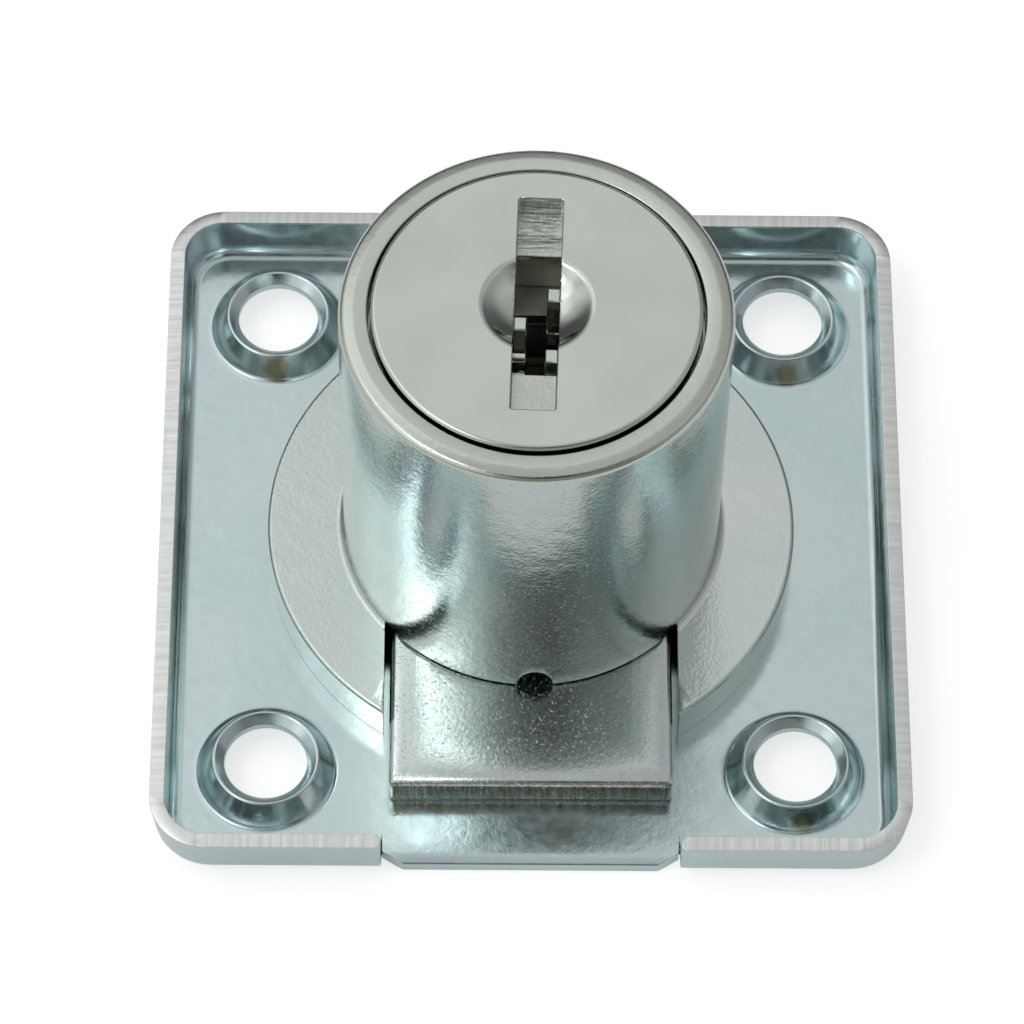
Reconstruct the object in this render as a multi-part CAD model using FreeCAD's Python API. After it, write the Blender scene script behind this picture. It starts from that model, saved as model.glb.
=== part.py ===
"""Drawer lock: a pressed plate, a cast barrel with a wafer plug, and a flat bolt. Sizes in millimetres.

The origin is the centre of the plate's back face. +Z runs along the barrel towards the key,
and the bolt leaves towards -Y.
"""
import FreeCAD, Part
import math
import os

V = FreeCAD.Vector
ORIGIN = V(0, 0, 0)
UP = V(0, 0, 1)
OVER = 1.0  # how far a cutting solid runs past what it cuts
ROUND_STEPS = 1  # a small rounding on a turned piece is this many cones
BEND_STEPS = 4  # and the plate's bend is this many flats

# Clearances
RUNNING_GAP = 0.05  # between the turning plug and the housing
FIT_GAP = 0.02  # between pieces that are fixed to each other or only slide
SIDE_GAP = 0.3  # bolt to the sides of its channel
RIM_GAP = 0.35  # bolt to the ends of the plate's rim
BOLT_HEADROOM = 0.15
HEAD_GAP = 0.16  # the dark ring round the plug's face

# Plug: the turning core
PLUG_RADIUS = 6.65
HEAD_STEP = 1.81  # the head stands out this far past the body
HEAD_THICKNESS = 2.0
HEAD_ROUND = 0.3
FACE_PROUD = 0.25  # the face stands this far in front of the barrel's lip
SHOULDER = 0.85  # step from the body down to the neck
PIN_RADIUS = 1.2  # the eccentric pin that drives the bolt
PIN_EDGE = 0.1
PIN_END_GAP = 0.2  # the pin stops this far short of the plate

# Keyway
KEYWAY_WIDTH = 2.3
KEYWAY_REACH = 3.6  # half the length of the deep slot
RECESS_REACH = 6.4  # half the length of the shallow recess round it
RECESS_DEPTH = 1.15
KEYWAY_SHIFT = 0.28  # the keyway's middle is off the face's middle by this
KEYWAY_TURN = -2.0  # degrees, anticlockwise from Y
DISH_RADIUS = 2.95
DISH_DEPTH = 0.8
WARD_STANDOUT = 0.65
WARD_WIDTH = 0.8
WARD_SETBACK = 0.5  # the ribs start this far behind the recess floor
WARDS = ((1, 1.6), (-1, -0.2), (1, -2.1))  # the wall that each rib is on, and its place along Y

# Wafers and their springs
WAFER_THICKNESS = 0.7
WAFER_TRAVEL = 0.9
SLOT_GAP = 0.04  # above and below a wafer in its slot
WINDOW_MARGIN = 0.2  # the window is wider than the keyway by this on each side
SIDE_ROOM = 3.15  # from a wafer's side to the plug's surface, where the spring pocket lies
WAFER_BITES = (2.1, 1.7, 2.4, 2.0, 1.5, 2.3, 1.8, 2.2)  # centre to the edge that the key lifts
FIRST_WAFER_DEPTH = 4.3  # behind the plug's face
LAST_WAFER_HEIGHT = 1.3  # in front of the plug's shoulder
LUG_LENGTH = 1.4
LUG_WIDTH = 0.8
POCKET_WIDTH = 1.55
POCKET_HEIGHT = 1.2
SPRING_LENGTH = 2.2
SPRING_RADIUS = 0.42
SPRING_WIRE = 0.2
SPRING_TURNS = 3
SPRING_STEPS = 6  # straight pieces in one turn

# Housing: barrel and flange in one casting
LIP_WIDTH = 1.48
LIP_ROUND = 0.3
BARREL_HEIGHT = 20.7  # from the flange to the lip
FLANGE_OVERHANG = 4.1
FLANGE_ROOF = 0.15  # from the top of the bolt's channel to the top of the flange
FLANGE_CHAMFER = 0.2
FOOT_FILLET = 0.4
TIP_ROUND = 0.9  # the flange's two tips beside the bolt
GROOVE_SPARE = 0.8  # room past a wafer that is fully out
WEB_THICKNESS = 1.0
NOTCH_WIDTH = 1.9
NOTCH_HEIGHT = 1.4
NOTCH_SHIFT = 0.2
STUD_RADIUS = 1.5
STUD_EDGE = 2.2  # from the flange's edge to the stud's middle
STUD_ANGLES = (-17.0, 90.0, 197.0)

# Retaining clip on the plug's neck
CLIP_THICKNESS = 0.6
CLIP_WIDTH = 1.05
CLIP_OPENING = 80.0  # degrees
CLIP_PRONG = 26.0  # degrees
CLIP_TAIL = 0.5  # neck left behind the clip
CLIP_PLAY = 0.1
CLIP_ROOM = 0.25
CLIP_GROOVE_DEPTH = 0.6

# Bolt
BOLT_THICKNESS = 2.15
BOLT_SIDE_BAR = 1.6
BOLT_NOSE = 1.6  # past the flange when it is drawn in
BOLT_REAR_GAP = 0.4
BOLT_ROUND = 0.4
BOLT_CHAMFER = 0.25
SLOT_END_GAP = 0.2
SLOT_CORNER = 1.2

# Mounting plate
SHEET = 0.8
BEND_RADIUS = 2.3
CORNER_EXTRA = 0.7  # the corner's radius in plan is larger than the bend's by this
RIM_PROUD = 0.1  # the rim stands higher than the flange by this
RIM_END_ROUND = 0.5
SCREW_TUCK = 0.2
SCREW_INSET = 6.0  # from the plate's edge to a screw's middle
SCREW_HOLE_RADIUS = 2.2
BOSS_LIP = 0.55  # from the hole to the boss's crest
BOSS_SLOPE = 0.85  # from the crest to the foot
BOSS_HEIGHT = 1.4
FUNNEL_ANGLE = 40.0
COUNTERSINK_DEPTH = 1.35
COUNTERSINK_EXTRA = 1.35
TONGUE_SETBACK = 0.5  # the tongue ends this far inside the plate's edge
TONGUE_NOTCH = 0.5  # depth and width of the notch beside the tongue
TONGUE_ROUND = 0.35

# Worked out, from the plug outwards
head_radius = PLUG_RADIUS + HEAD_STEP
bore_radius = PLUG_RADIUS + RUNNING_GAP
counterbore_radius = head_radius + HEAD_GAP
barrel_radius = counterbore_radius + LIP_WIDTH
flange_radius = barrel_radius + FLANGE_OVERHANG
neck_radius = PLUG_RADIUS - SHOULDER
pin_throw = neck_radius - PIN_RADIUS - PIN_EDGE
wafer_radius = PLUG_RADIUS - RUNNING_GAP
wafer_half = PLUG_RADIUS - SIDE_ROOM
window_half = KEYWAY_WIDTH / 2 + WINDOW_MARGIN

# Worked out, from the plate forwards
bolt_bottom = SHEET + RUNNING_GAP
bolt_top = bolt_bottom + BOLT_THICKNESS
channel_top = bolt_top + BOLT_HEADROOM
flange_top = channel_top + FLANGE_ROOF
lip_z = flange_top + BARREL_HEIGHT
face_z = lip_z + FACE_PROUD
head_back = face_z - HEAD_THICKNESS
counterbore_z = head_back - RUNNING_GAP
neck_end = bolt_top + RUNNING_GAP + BOLT_HEADROOM
clip_bottom = neck_end + CLIP_TAIL
clip_top = clip_bottom + CLIP_THICKNESS
web_bottom = clip_top + CLIP_PLAY
web_top = web_bottom + WEB_THICKNESS
shoulder_z = web_top + RUNNING_GAP
recess_floor = face_z - RECESS_DEPTH
keyway_end = shoulder_z + LAST_WAFER_HEIGHT / 2
clip_radius = neck_radius + CLIP_WIDTH

# The bolt goes to and fro by twice the pin's throw. Its slot is also wide enough for the bolt to
# move in step with the turn, though the pin itself moves along Y as a cosine.
lag_angle = math.asin(2 / math.pi)
yoke_lag = pin_throw * (2 * lag_angle / math.pi - 1 + math.cos(lag_angle))
slot_half_width = PIN_RADIUS + yoke_lag + 2 * RUNNING_GAP
slot_half_length = pin_throw + PIN_RADIUS + SLOT_END_GAP
bolt_half = slot_half_length + BOLT_SIDE_BAR
channel_half = bolt_half + SIDE_GAP
channel_rear = barrel_radius - 2 * RUNNING_GAP
bolt_rear = channel_rear - BOLT_REAR_GAP
bolt_front = flange_radius + BOLT_NOSE

# Worked out, for the plate
screw_offset = flange_radius - SCREW_TUCK
plate_half = screw_offset + SCREW_INSET
rim_height = flange_top + RIM_PROUD
corner_radius = BEND_RADIUS + CORNER_EXTRA
rim_gap_half = bolt_half + RIM_GAP
flat_half = plate_half - BEND_RADIUS
stud_circle = flange_radius - STUD_EDGE


def block(x0, x1, y0, y1, z0, z1):
    """A box given by its two ends along each axis, in either order."""
    low = V(min(x0, x1), min(y0, y1), min(z0, z1))
    high = V(max(x0, x1), max(y0, y1), max(z0, z1))
    size = high - low
    return Part.makeBox(size.x, size.y, size.z, low)


def disc(radius, z0, z1, x=0.0, y=0.0):
    """A cylinder along Z from z0 to z1."""
    return Part.makeCylinder(radius, z1 - z0, V(x, y, z0), UP)


def edges_where(shape, test):
    """The shape's edges whose middle passes the test."""
    return [e for e in shape.Edges if test(e.valueAt((e.FirstParameter + e.LastParameter) / 2))]


def near(a, b):
    return abs(a - b) < 1e-3


def rounded_corner(before, corner, after, rounding, steps):
    """A corner's rounding, as points on its arc with this many equal steps between them."""
    back = (before - corner).normalize()
    ahead = (after - corner).normalize()
    half_angle = back.getAngle(ahead) / 2
    centre = corner + (back + ahead).normalize() * (rounding / math.sin(half_angle))
    start = corner + back * (rounding / math.tan(half_angle)) - centre
    end = corner + ahead * (rounding / math.tan(half_angle)) - centre
    turn = start.getAngle(end)
    points = []
    for step in range(steps + 1):
        part = step / steps
        arm = start * math.sin((1 - part) * turn) + end * math.sin(part * turn)
        points.append(centre + arm * (1 / math.sin(turn)))
    return points


def turned(corners, x=0.0, y=0.0):
    """A closed profile turned about a line along Z. A corner is its radius, its height and its rounding."""
    points = [V(radius, 0, height) for radius, height, rounding in corners]
    outline = []
    for number, (radius, height, rounding) in enumerate(corners):
        before, here, after = points[number - 1], points[number], points[(number + 1) % len(points)]
        outline += rounded_corner(before, here, after, rounding, ROUND_STEPS) if rounding else [here]
    solid = Part.Face(Part.makePolygon(outline + outline[:1])).revolve(ORIGIN, UP, 360)
    if solid.Volume < 0:
        solid.reverse()
    solid.translate(V(x, y, 0))
    return solid


def rim_section(width):
    """The section of the sheet at the plate's edge, in the XZ plane: a flat width, the bend and the rim."""
    foot = width - BEND_RADIUS
    outside = rounded_corner(V(foot, 0, 0), V(width, 0, 0), V(width, 0, rim_height), BEND_RADIUS, BEND_STEPS)
    inside = rounded_corner(V(width - SHEET, 0, rim_height), V(width - SHEET, 0, SHEET), V(foot, 0, SHEET),
                            BEND_RADIUS - SHEET, BEND_STEPS)
    outline = [V(0, 0, 0), *outside, V(width, 0, rim_height), V(width - SHEET, 0, rim_height), *inside,
               V(0, 0, SHEET)]
    return Part.Face(Part.makePolygon(outline + outline[:1]))


def tray():
    """The pressed tray: a floor, four sides and four corners, with no openings yet."""
    inner = plate_half - corner_radius
    pieces = []
    for quarter in range(4):
        side = rim_section(corner_radius).extrude(V(0, 2 * inner, 0))
        side.translate(V(inner, -inner, 0))
        corner = rim_section(corner_radius).revolve(ORIGIN, UP, 90)
        corner.translate(V(inner, inner, 0))
        for piece in (side, corner):
            piece.rotate(ORIGIN, UP, 90 * quarter)
            pieces.append(piece)
    return block(-inner, inner, -inner, inner, 0, SHEET).fuse(pieces).removeSplitter()


def tongue():
    """The flat lip under the bolt, where the rim is cut away, with a notch at each side."""
    end = -(plate_half - TONGUE_SETBACK)
    root = end + TONGUE_NOTCH
    inner = rim_gap_half - TONGUE_NOTCH
    corner = inner - TONGUE_NOTCH
    outline = [(-rim_gap_half, -flat_half + OVER), (-rim_gap_half, root), (-inner, root), (-corner, end),
               (corner, end), (inner, root), (rim_gap_half, root), (rim_gap_half, -flat_half + OVER)]
    points = [V(x, y, 0) for x, y in outline]
    flat = Part.Face(Part.makePolygon(points + points[:1])).extrude(V(0, 0, SHEET))
    corners = edges_where(
        flat, lambda p: near(p.z, SHEET / 2) and abs(p.x) < rim_gap_half - TONGUE_NOTCH / 2)
    return flat.makeFillet(TONGUE_ROUND, corners)


def boss(x, y):
    """A screw boss: the sheet is pushed up round the hole, and its edge turns back down as a funnel."""
    crest = SCREW_HOLE_RADIUS + BOSS_LIP
    crest_z = SHEET + BOSS_HEIGHT
    foot = crest + BOSS_SLOPE
    mouth_z = crest_z - BOSS_LIP * math.tan(math.radians(FUNNEL_ANGLE))
    return turned([(0, 0, 0), (foot, 0, 0), (foot, SHEET, 0), (crest, crest_z, 0),
                   (SCREW_HOLE_RADIUS, mouth_z, 0), (0, mouth_z, 0)], x, y)


def countersink(x, y):
    """The screw's way through a boss: the hole, and the cone in the back for the screw's head."""
    wide = SCREW_HOLE_RADIUS + COUNTERSINK_EXTRA
    cone = Part.makeCone(wide, SCREW_HOLE_RADIUS, COUNTERSINK_DEPTH, V(x, y, 0), UP)
    hole = disc(SCREW_HOLE_RADIUS, -OVER, SHEET + BOSS_HEIGHT + OVER, x, y)
    return cone.fuse(hole)


def stud(gap, x, y):
    """A stud of the casting, hammered flush in the plate's back. The gap widens it into its hole."""
    return disc(STUD_RADIUS + gap, 0, SHEET + (OVER if gap else FIT_GAP), x, y)


def stud_places():
    for degrees in STUD_ANGLES:
        angle = math.radians(degrees)
        yield stud_circle * math.cos(angle), stud_circle * math.sin(angle)


def mounting_plate():
    plate = tray()
    gap = block(-rim_gap_half, rim_gap_half, -flat_half, -plate_half - OVER, -OVER, rim_height + OVER)
    plate = plate.cut(gap)
    rim_ends = edges_where(plate, lambda p: near(abs(p.x), rim_gap_half) and near(p.z, rim_height))
    plate = plate.makeFillet(RIM_END_ROUND, rim_ends)
    plate = plate.fuse(tongue())
    corners = [(sx * screw_offset, sy * screw_offset) for sx in (-1, 1) for sy in (-1, 1)]
    plate = plate.fuse([boss(x, y) for x, y in corners])
    plate = plate.cut([countersink(x, y) for x, y in corners])
    plate = plate.cut([stud(FIT_GAP, x, y) for x, y in stud_places()])
    return plate.removeSplitter()


def flange():
    """The round flange, cut away for the bolt from its front edge to under the barrel."""
    body = disc(flange_radius, SHEET, flange_top)
    body = body.cut(block(-channel_half, channel_half, -flange_radius - OVER, 0, 0, flange_top + OVER))
    tips = edges_where(body, lambda p: near(p.z, (SHEET + flange_top) / 2)
                       and near(math.hypot(p.x, p.y), flange_radius) and near(abs(p.x), channel_half))
    body = body.makeFillet(TIP_ROUND, tips)
    rim = edges_where(body, lambda p: near(p.z, flange_top) and math.hypot(p.x, p.y) > flange_radius - TIP_ROUND)
    body = body.makeChamfer(FLANGE_CHAMFER, rim)
    pocket = disc(channel_rear, 0, channel_top).common(
        block(-channel_half, channel_half, -OVER, barrel_radius, 0, channel_top))
    return body.cut(pocket)


def barrel():
    """The barrel's outside, turned: a flared foot on the flange, none over the bolt, and a rounded lip."""
    flare = barrel_radius + FOOT_FILLET
    outside = turned([(0, channel_top, 0), (flare, channel_top, 0),
                      (barrel_radius, flange_top, FOOT_FILLET), (barrel_radius, lip_z, LIP_ROUND),
                      (0, lip_z, 0)])
    over_bolt = block(-channel_half, channel_half, -flare - OVER, 0, 0, flange_top + 2 * FOOT_FILLET)
    return outside.cut(over_bolt.cut(disc(barrel_radius, -OVER, lip_z)))


def lock_housing():
    body = flange().fuse(barrel()).removeSplitter()
    groove_reach = wafer_radius + WAFER_TRAVEL + GROOVE_SPARE
    groove_half = wafer_half + 2 * RUNNING_GAP + SLOT_GAP
    groove = disc(groove_reach, web_top, counterbore_z).common(
        block(-groove_half, groove_half, -barrel_radius, barrel_radius, web_top, counterbore_z))
    body = body.cut([
        disc(counterbore_radius, counterbore_z, lip_z + OVER),
        disc(bore_radius, web_top, lip_z),
        disc(neck_radius + RUNNING_GAP, channel_top - OVER, lip_z),
        disc(clip_radius + CLIP_ROOM, channel_top - OVER, web_bottom),
        groove,
        foot_notch(),
    ])
    studs = [stud(0, x, y) for x, y in stud_places()]
    return body.fuse(studs).removeSplitter()


def foot_notch():
    """The small round-topped notch through the barrel's wall, over the bolt."""
    radius = NOTCH_WIDTH / 2
    top = channel_top + NOTCH_HEIGHT - radius
    outside = V(NOTCH_SHIFT, -barrel_radius - OVER, top)
    round_top = Part.makeCylinder(radius, barrel_radius + OVER - clip_radius, outside, V(0, 1, 0))
    below = block(NOTCH_SHIFT - radius, NOTCH_SHIFT + radius, outside.y, -clip_radius, channel_top - OVER, top)
    return round_top.fuse(below)


def bolt():
    """The flat bolt, drawn in: a square nose, a round rear, and the cross slot for the plug's pin."""
    nose = block(-bolt_half, bolt_half, -bolt_front, 0, bolt_bottom, bolt_top)
    rear = disc(bolt_rear, bolt_bottom, bolt_top).common(
        block(-bolt_half, bolt_half, -OVER, bolt_rear, bolt_bottom, bolt_top))
    body = nose.fuse(rear).removeSplitter()
    front_corners = edges_where(body, lambda p: near(p.y, -bolt_front) and near(abs(p.x), bolt_half))
    body = body.makeFillet(BOLT_ROUND, front_corners)
    rim = edges_where(body, lambda p: near(p.z, bolt_top) and p.y < 0)
    body = body.makeChamfer(BOLT_CHAMFER, rim)
    slot = block(-slot_half_length, slot_half_length, pin_throw - slot_half_width, pin_throw + slot_half_width,
                 bolt_bottom - OVER, bolt_top + OVER)
    middle = (bolt_bottom + bolt_top) / 2
    slot_corners = edges_where(slot, lambda p: near(abs(p.x), slot_half_length) and near(p.z, middle))
    return body.cut(slot.makeFillet(SLOT_CORNER, slot_corners))


def wafer_height(number):
    """The middle of a wafer, counted from 0 at the front. They are evenly spaced."""
    first = face_z - FIRST_WAFER_DEPTH
    last = shoulder_z + LAST_WAFER_HEIGHT
    return first + (last - first) * number / (len(WAFER_BITES) - 1)


def wafer_sides(number):
    """The side of the plug that a wafer's spring is on, and the way that the spring pushes, by turns."""
    side = 1 if number % 2 == 0 else -1
    push = -1 if number % 2 == 0 else 1
    return side, push


def spring_centre_x():
    return wafer_half + RUNNING_GAP + POCKET_WIDTH / 2


def spring_seat():
    """How far from the middle the spring's pocket ends."""
    return LUG_WIDTH / 2 + SPRING_LENGTH + 2 * FIT_GAP


def keyway():
    """The slot for the key, with the ward ribs left standing on its walls."""
    half = KEYWAY_WIDTH / 2
    slot = block(-half, half, -KEYWAY_REACH, KEYWAY_REACH, keyway_end, face_z)
    ribs = []
    for wall, y in WARDS:
        ribs.append(block(wall * half, wall * (half - WARD_STANDOUT), y - WARD_WIDTH / 2, y + WARD_WIDTH / 2,
                          keyway_end, recess_floor - WARD_SETBACK))
    return slot.cut(ribs)


def on_face(cutter):
    """A cutter drawn about the middle, in line with Y, moved to where the keyway is on the face."""
    cutter.translate(V(0, KEYWAY_SHIFT, 0))
    cutter.rotate(ORIGIN, UP, KEYWAY_TURN)
    return cutter


def wafer_slot(number):
    """The slot across the plug that a wafer slides in, with its spring's pocket at one side."""
    side, push = wafer_sides(number)
    z = wafer_height(number)
    half = wafer_half + RUNNING_GAP
    height = WAFER_THICKNESS / 2 + SLOT_GAP
    slot = block(-half, half, -head_radius, head_radius, z - height, z + height)
    pocket = block(side * (half - FIT_GAP), side * (half + POCKET_WIDTH), -push * spring_seat(), push * head_radius,
                   z - POCKET_HEIGHT / 2, z + POCKET_HEIGHT / 2)
    return slot.fuse(pocket)


def plug():
    half = KEYWAY_WIDTH / 2
    head = turned([(0, head_back, 0), (head_radius, head_back, 0), (head_radius, face_z, HEAD_ROUND),
                   (0, face_z, 0)])
    dish_sphere = (DISH_RADIUS ** 2 + DISH_DEPTH ** 2) / (2 * DISH_DEPTH)
    dish = Part.makeSphere(dish_sphere, V(0, 0, face_z - DISH_DEPTH + dish_sphere))
    recess = block(-half, half, -RECESS_REACH, RECESS_REACH, recess_floor, face_z + OVER)
    body = disc(PLUG_RADIUS, shoulder_z, head_back).cut([wafer_slot(n) for n in range(len(WAFER_BITES))])
    neck = disc(neck_radius, neck_end, shoulder_z)
    clip_groove = disc(neck_radius + OVER, clip_bottom - FIT_GAP, clip_top + FIT_GAP).cut(
        disc(neck_radius - CLIP_GROOVE_DEPTH, 0, lip_z))
    pin = disc(PIN_RADIUS, SHEET + PIN_END_GAP, neck_end, 0, pin_throw)
    whole = head.fuse([body, neck, pin]).removeSplitter()
    return whole.cut([on_face(dish), on_face(recess), on_face(keyway()), clip_groove]).removeSplitter()


def retaining_clip():
    """An open ring whose three prongs grip the groove in the plug's neck."""
    ring = disc(clip_radius, clip_bottom, clip_top).cut(disc(neck_radius + 2 * FIT_GAP, 0, lip_z))
    prong_ring = disc(clip_radius - CLIP_WIDTH / 2, clip_bottom, clip_top).cut(
        disc(neck_radius - CLIP_GROOVE_DEPTH + FIT_GAP, 0, lip_z))
    clip = ring.cut(sector(270 - CLIP_OPENING / 2, CLIP_OPENING))
    for middle in (90, 270 - CLIP_OPENING / 2 - CLIP_PRONG / 2, 270 + CLIP_OPENING / 2 + CLIP_PRONG / 2):
        clip = clip.fuse(prong_ring.common(sector(middle - CLIP_PRONG / 2, CLIP_PRONG)))
    return clip.removeSplitter()


def sector(start, sweep):
    """A wedge about the axis, from one angle through a sweep of degrees, as tall as the lock."""
    angle = math.radians(start)
    reach = flange_radius
    edge = Part.makeLine(ORIGIN, V(reach * math.cos(angle), reach * math.sin(angle), 0))
    return edge.revolve(ORIGIN, UP, sweep).extrude(V(0, 0, lip_z))


def wafer(number):
    """A flat wafer, level with the plug's surface: round ends, the key's window and the spring's lug."""
    side, push = wafer_sides(number)
    z = wafer_height(number)
    low, high = z - WAFER_THICKNESS / 2, z + WAFER_THICKNESS / 2
    blank = disc(wafer_radius, low, high).common(
        block(-wafer_half, wafer_half, -wafer_radius, wafer_radius, low, high))
    free_end = KEYWAY_REACH + WAFER_TRAVEL + WINDOW_MARGIN
    window = block(-window_half, window_half, push * free_end, -push * WAFER_BITES[number], low - OVER, high + OVER)
    lug = block(side * (wafer_half - FIT_GAP), side * (wafer_half + LUG_LENGTH), -LUG_WIDTH / 2, LUG_WIDTH / 2,
                low, high)
    return blank.cut(window).fuse(lug).removeSplitter()


def wafer_spring(number):
    """The coil spring between a wafer's lug and the end of its pocket. Its axis is along Y."""
    side, push = wafer_sides(number)
    rise = SPRING_LENGTH - SPRING_WIRE
    start = -push * (LUG_WIDTH / 2 + FIT_GAP + SPRING_WIRE / 2)
    steps = SPRING_TURNS * SPRING_STEPS
    points = []
    for step in range(steps + 1):
        angle = 2 * math.pi * step / SPRING_STEPS
        points.append(V(side * spring_centre_x() + SPRING_RADIUS * math.cos(angle),
                        start - push * rise * step / steps,
                        wafer_height(number) + SPRING_RADIUS * math.sin(angle)))
    half = SPRING_WIRE / 2
    along = (points[1] - points[0]).normalize()
    across = V(0, 1, 0).cross(along).normalize()
    upward = along.cross(across)
    section = [points[0] + across * (half * a) + upward * (half * b)
               for a, b in ((-1, -1), (1, -1), (1, 1), (-1, 1))]
    shell = Part.BRepOffsetAPI.MakePipeShell(Part.makePolygon(points))
    shell.setTransitionMode(1)
    shell.add(Part.makePolygon(section + section[:1]))
    shell.build()
    shell.makeSolid()
    return shell.shape()


def main():
    pieces = {
        "mounting_plate": mounting_plate(),
        "lock_housing": lock_housing(),
        "plug": plug(),
        "retaining_clip": retaining_clip(),
        "bolt": bolt(),
    }
    for number in range(len(WAFER_BITES)):
        pieces[f"wafer_{number + 1}"] = wafer(number)
        pieces[f"wafer_spring_{number + 1}"] = wafer_spring(number)
    os.makedirs("parts", exist_ok=True)
    for name, shape in pieces.items():
        if not shape.isValid() or len(shape.Solids) != 1:
            raise ValueError(f"{name} is not one sound solid")
        shape.Solids[0].exportStep(f"parts/{name}.step")
        box = shape.BoundBox
        print(f"{name}: {shape.Volume:.2f} mm3, z {box.ZMin:.2f} to {box.ZMax:.2f}, {len(shape.Faces)} faces")
    print(f"plate {2 * plate_half:.2f} square, screws {2 * screw_offset:.2f} apart, barrel {2 * barrel_radius:.2f}")
    print(f"bolt {2 * bolt_half:.2f} wide, travel {2 * pin_throw:.2f}, front lip at {lip_z:.2f}")


main()
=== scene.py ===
# %% [markdown]
# # A drawer lock, dressed for its picture
# The lock is small: a pressed square plate of 40 mm, a round cast barrel, a turning plug in it, and a flat
# bolt that leaves towards the viewer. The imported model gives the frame: where each piece is and what it
# turns or slides with. This lesson models the pieces that are seen from near, in the same places, and
# gives each of them the finish of the real metal.

# %% Load the frame
import bpy, bmesh
import math
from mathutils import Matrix, Quaternion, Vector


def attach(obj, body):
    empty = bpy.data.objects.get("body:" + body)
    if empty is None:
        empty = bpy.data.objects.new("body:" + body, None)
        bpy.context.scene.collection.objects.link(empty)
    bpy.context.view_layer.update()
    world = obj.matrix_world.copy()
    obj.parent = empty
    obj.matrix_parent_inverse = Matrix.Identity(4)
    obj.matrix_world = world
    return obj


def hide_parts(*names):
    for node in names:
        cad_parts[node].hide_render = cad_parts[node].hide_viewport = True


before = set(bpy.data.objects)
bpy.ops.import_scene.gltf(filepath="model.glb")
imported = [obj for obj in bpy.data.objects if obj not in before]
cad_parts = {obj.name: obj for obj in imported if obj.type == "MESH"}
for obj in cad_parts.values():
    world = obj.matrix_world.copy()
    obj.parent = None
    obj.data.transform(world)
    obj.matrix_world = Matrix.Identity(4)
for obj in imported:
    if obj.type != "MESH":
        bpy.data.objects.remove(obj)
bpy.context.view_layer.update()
MM = 0.001

# %% [markdown]
# ## Working by hand, in code
# Blender's operators act on whatever is selected, and the frame leaves its nodes selected. So every step
# first selects one object alone, and then picks faces, edges or corners by where they are. Picking them by
# their numbers would be shorter, but the numbers change with every cut. All places are written in
# millimetres, because a maker of locks thinks in them, and turned into metres here.

# %% Select one object, and pick parts of it by place
def only(piece):
    """Makes this the one selected object, out of edit mode."""
    if bpy.context.mode != "OBJECT":
        bpy.ops.object.mode_set(mode="OBJECT")
    bpy.ops.object.select_all(action="DESELECT")
    if piece:
        piece.select_set(True)
        bpy.context.view_layer.objects.active = piece


def pick(piece, kind, test):
    """In edit mode, selects the faces, edges or corners that pass the test.

    The test gets the middle of each in mm, and its normal, or an edge's way from end to end in mm.
    """
    bpy.ops.mesh.select_mode(type=kind)
    bpy.ops.mesh.select_all(action="DESELECT")
    mesh = bmesh.from_edit_mesh(piece.data)
    if kind == "FACE":
        for face in mesh.faces:
            if test(face.calc_center_median() / MM, face.normal):
                face.select_set(True)
    elif kind == "EDGE":
        for edge in mesh.edges:
            a, b = edge.verts[0].co / MM, edge.verts[1].co / MM
            if test((a + b) / 2, b - a):
                edge.select_set(True)
    else:
        for corner in mesh.verts:
            if test(corner.co / MM, corner.normal):
                corner.select_set(True)
    mesh.select_flush_mode()
    bmesh.update_edit_mesh(piece.data)


def near(a, b):
    """Whether two measures, in mm, are the same for a maker."""
    return abs(a - b) < 0.01

# %% [markdown]
# A turned piece starts as one ring. The ring is extruded along its axis and scaled to the next point of the
# profile, again and again, as a lathe tool follows a template. A profile that comes back to its first point
# makes a tube with closed walls, and an open one is closed with a flat face at each end. The Spin tool
# would do the same from a drawn outline, but then every rounding would have to be drawn by hand.

# %% Draw a profile with rounded corners, and turn it
def soften(corners, steps=5, closed=False):
    """Corners given as (radius, height, rounding) become points with an arc at each rounded corner."""
    points = []
    for number, (r, z, rounding) in enumerate(corners):
        here = Vector((r, z))
        ends = number in (0, len(corners) - 1) and not closed
        if not rounding or ends:
            points.append(here)
            continue
        before = Vector(corners[number - 1][:2])
        after = Vector(corners[(number + 1) % len(corners)][:2])
        back, ahead = (before - here).normalized(), (after - here).normalized()
        half = back.angle(ahead) / 2
        middle = here + (back + ahead).normalized() * rounding / math.sin(half)
        first, last = here + back * rounding / math.tan(half), here + ahead * rounding / math.tan(half)
        start, end = first - middle, last - middle
        sweep = start.angle(end)
        for step in range(steps + 1):
            part = step / steps
            arm = (start * math.sin((1 - part) * sweep) + end * math.sin(part * sweep)) / math.sin(sweep)
            points.append(middle + arm)
    return points


def turn(name, profile, segments=128, centre=(0.0, 0.0), closed=True):
    """Turns a profile about a line along Z, ring by ring."""
    only(None)
    x, y = centre[0] * MM, centre[1] * MM
    r0, z0 = profile[0]
    bpy.ops.mesh.primitive_circle_add(vertices=segments, radius=r0 * MM, location=(x, y, z0 * MM),
                                      fill_type="NOTHING" if closed else "NGON")
    piece = bpy.context.object
    piece.name = name
    bpy.ops.object.mode_set(mode="EDIT")
    bpy.ops.mesh.select_mode(type="EDGE")
    bpy.ops.mesh.select_all(action="SELECT")
    if not closed:
        bpy.ops.mesh.region_to_loop()
    for r1, z1 in list(profile[1:]) + (list(profile[:1]) if closed else []):
        bpy.ops.mesh.extrude_edges_move(TRANSFORM_OT_translate={"value": (0, 0, (z1 - z0) * MM)})
        bpy.ops.transform.resize(value=(r1 / r0, r1 / r0, 1), center_override=(x, y, z1 * MM))
        r0, z0 = r1, z1
    if not closed:
        bpy.ops.mesh.edge_face_add()
    return close_up(piece)


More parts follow.
